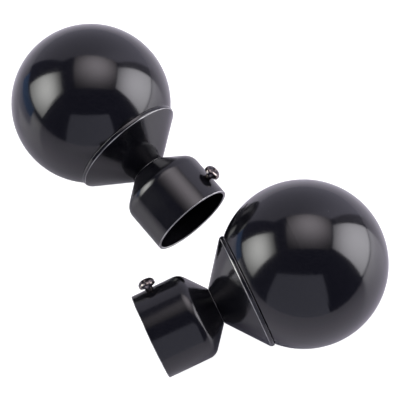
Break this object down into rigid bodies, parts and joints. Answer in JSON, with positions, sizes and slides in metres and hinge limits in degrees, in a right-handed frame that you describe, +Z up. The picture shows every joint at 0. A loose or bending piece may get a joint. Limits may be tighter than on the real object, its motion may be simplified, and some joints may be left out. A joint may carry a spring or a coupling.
{
  "type": "curtain rod finial pair",
  "caption": "Curtain rod ball finials: a gloss black hollow ball on a flared cup, a narrow neck, and a conical socket clamped to the rod by a small cross-recess set screw.",
  "frame": {"origin": "middle of the pair's outline, on the surface the finials lie on", "axes": "+Z up. The left ball is at -X +Y and the right ball at +X -Y; the right socket's mouth points to -X, the left one's to +X -Y"},
  "size_m": [0.1376, 0.1394, 0.06],
  "materials": {
    "black_paint": "high gloss black",
    "blackened_screw": "black nickel, bright",
    "zinc_steel": "zinc plated"
  },
  "bodies": {
    "left_finial": {"left_ball_outer_half": "black_paint", "left_ball_inner_half": "black_paint", "left_ball_nut": "zinc_steel", "left_seat_cup": "black_paint", "left_rod_socket": "black_paint", "left_flat_washer": "zinc_steel", "left_spring_washer": "zinc_steel", "left_centre_screw": "zinc_steel"},
    "left_set_screw": {"left_set_screw": "blackened_screw"},
    "right_finial": {"right_ball_outer_half": "black_paint", "right_ball_inner_half": "black_paint", "right_ball_nut": "zinc_steel", "right_seat_cup": "black_paint", "right_rod_socket": "black_paint", "right_flat_washer": "zinc_steel", "right_spring_washer": "zinc_steel", "right_centre_screw": "zinc_steel"},
    "right_set_screw": {"right_set_screw": "blackened_screw"}
  },
  "joints": [
    {"name": "left_set_screw_travel", "type": "slide", "parent": "left_finial", "child": "left_set_screw", "axis": [0.6315, 0.314, 0.7089], "range_m": [-0.0019, 0.0005]},
    {"name": "right_set_screw_travel", "type": "slide", "parent": "right_finial", "child": "right_set_screw", "axis": [-0.4098, 0.5298, 0.7426], "range_m": [-0.0019, 0.0005]},
    {"name": "finials_apart", "type": "slide", "parent": "left_finial", "child": "right_finial", "axis": [1, 0, 0], "range_m": [0, 0.12]}
  ]
}
